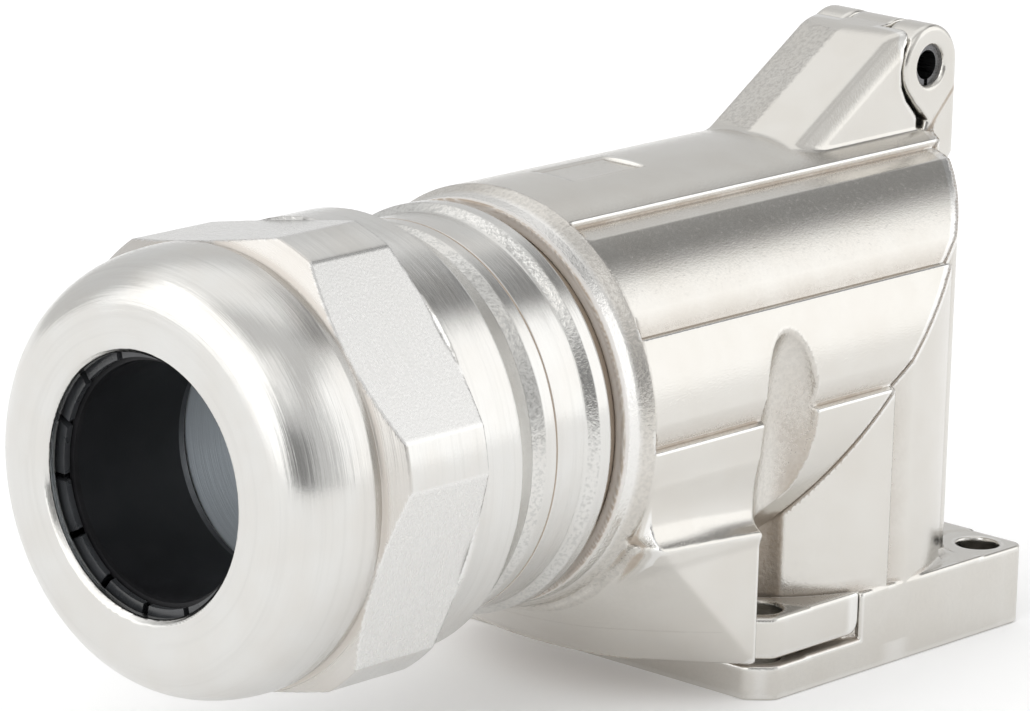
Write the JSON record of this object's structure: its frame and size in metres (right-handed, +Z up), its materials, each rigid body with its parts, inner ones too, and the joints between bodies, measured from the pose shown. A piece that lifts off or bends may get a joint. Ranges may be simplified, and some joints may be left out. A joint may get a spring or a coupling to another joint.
{
  "type": "cable gland",
  "caption": "Hinged right-angle flange housing with a screwed cable gland: the upper half swings up, and the dome nut clamps the cable through a finger cage.",
  "frame": {"origin": "centre of the flange's bottom face", "axes": "+Z up along the column's axis, -Y forwards along the gland's axis, +Y towards the hinge, X along the hinge pin"},
  "size_m": [0.0332, 0.0787, 0.0435],
  "materials": {
    "cast_nickel": "satin nickel plating on a fine-grained casting",
    "turned_nickel": "satin nickel plating over turned brass",
    "pin_steel": "plain spring steel",
    "black_plastic": "moulded satin",
    "black_rubber": "moulded matt"
  },
  "bodies": {
    "base": {"lower_housing": "cast_nickel", "hinge_pin": "pin_steel", "mitre_seal": "black_rubber", "flange_seal": "black_rubber"},
    "elbow": {"upper_housing": "cast_nickel", "gland_body": "turned_nickel", "gland_o_ring": "black_rubber"},
    "clamp": {"claw_cage": "black_plastic", "sealing_insert": "black_rubber"},
    "nut": {"dome_nut": "turned_nickel"}
  },
  "joints": [
    {"name": "housing_hinge", "type": "hinge", "parent": "base", "child": "elbow", "pos_m": [0, 0.014, 0.0405], "axis": [-1, 0, 0], "range_deg": [0, 100]},
    {"name": "clamp_slide", "type": "slide", "parent": "elbow", "child": "clamp", "axis": [0, -1, 0], "range_m": [-0.00026, 0.00451]},
    {"name": "nut_turn", "type": "hinge", "parent": "clamp", "child": "nut", "pos_m": [0, -0.05, 0.0218], "axis": [0, -1, 0], "range_deg": [-60, 1080]}
  ],
  "couplings": [
    {"joint": "clamp_slide", "follows": "nut_turn", "m_per_rad": 0.00023873}
  ]
}
